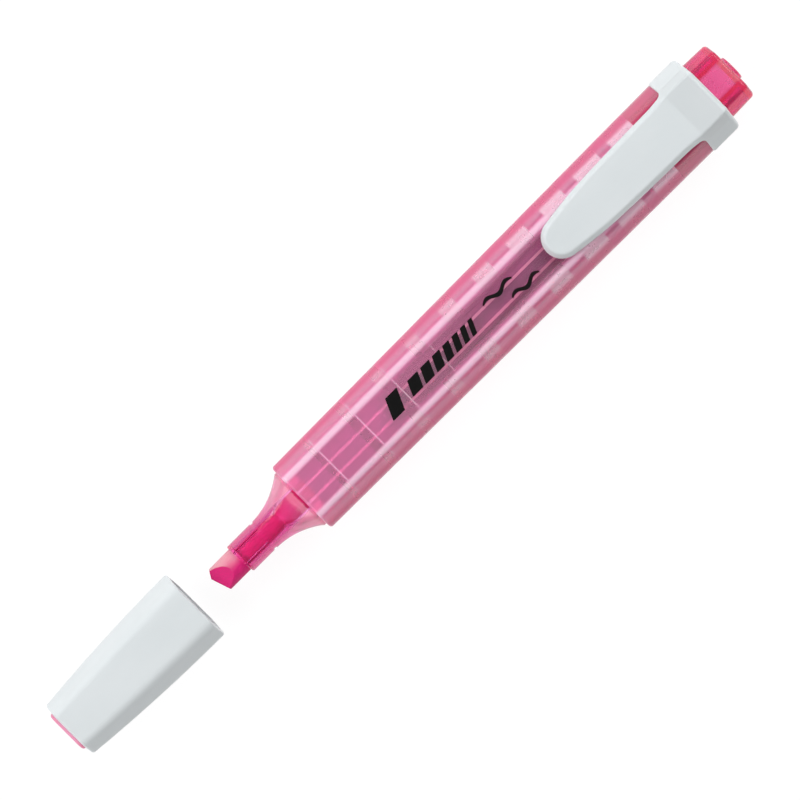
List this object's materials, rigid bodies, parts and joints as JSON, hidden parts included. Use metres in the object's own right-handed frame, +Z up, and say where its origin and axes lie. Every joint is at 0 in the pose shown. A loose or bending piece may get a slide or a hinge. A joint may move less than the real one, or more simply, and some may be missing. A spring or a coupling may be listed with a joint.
{
  "type": "highlighter pen",
  "caption": "Slim pocket highlighter with a translucent barrel, flared nose, chisel felt nib, pull-off cap, flexing clip and rear plug; cap shown pulled off in line.",
  "frame": {"origin": "middle of the bottom of the whole box, cap pulled off as shown, on the surface the pen lies on", "axes": "+X along the pen from nib to rear plug, +Z up through the clip, +Y across the pen"},
  "size_m": [0.1506, 0.015, 0.0135],
  "materials": {
    "barrel_plastic": "translucent, frosted inside",
    "nose_plastic": "translucent, glossy",
    "nib_felt": "pressed fibre, ink-wet",
    "reservoir_fibre": "ink-soaked fibre bundle",
    "reservoir_film": "shiny film",
    "plug_plastic": "translucent, glossy",
    "clip_plastic": "satin",
    "cap_plastic": "satin",
    "liner_plastic": "semi-gloss"
  },
  "bodies": {
    "pen": {"barrel": "barrel_plastic", "nose": "nose_plastic", "nib": "nib_felt", "reservoir_core": "reservoir_fibre", "reservoir_film": "reservoir_film", "end_plug": "plug_plastic", "clip_ring": "clip_plastic"},
    "clip": {"clip_tongue": "clip_plastic"},
    "cap": {"cap_shell": "cap_plastic", "cap_liner": "liner_plastic"}
  },
  "joints": [
    {"name": "cap_slide", "type": "slide", "parent": "pen", "child": "cap", "axis": [1, 0, 0], "range_m": [0, 0.0239]},
    {"name": "clip_flex", "type": "hinge", "parent": "pen", "child": "clip", "pos_m": [0.06356, 0, 0.01285], "axis": [0, 1, 0], "range_deg": [0, 4], "stiffness_Nm_per_rad": 1.5}
  ]
}
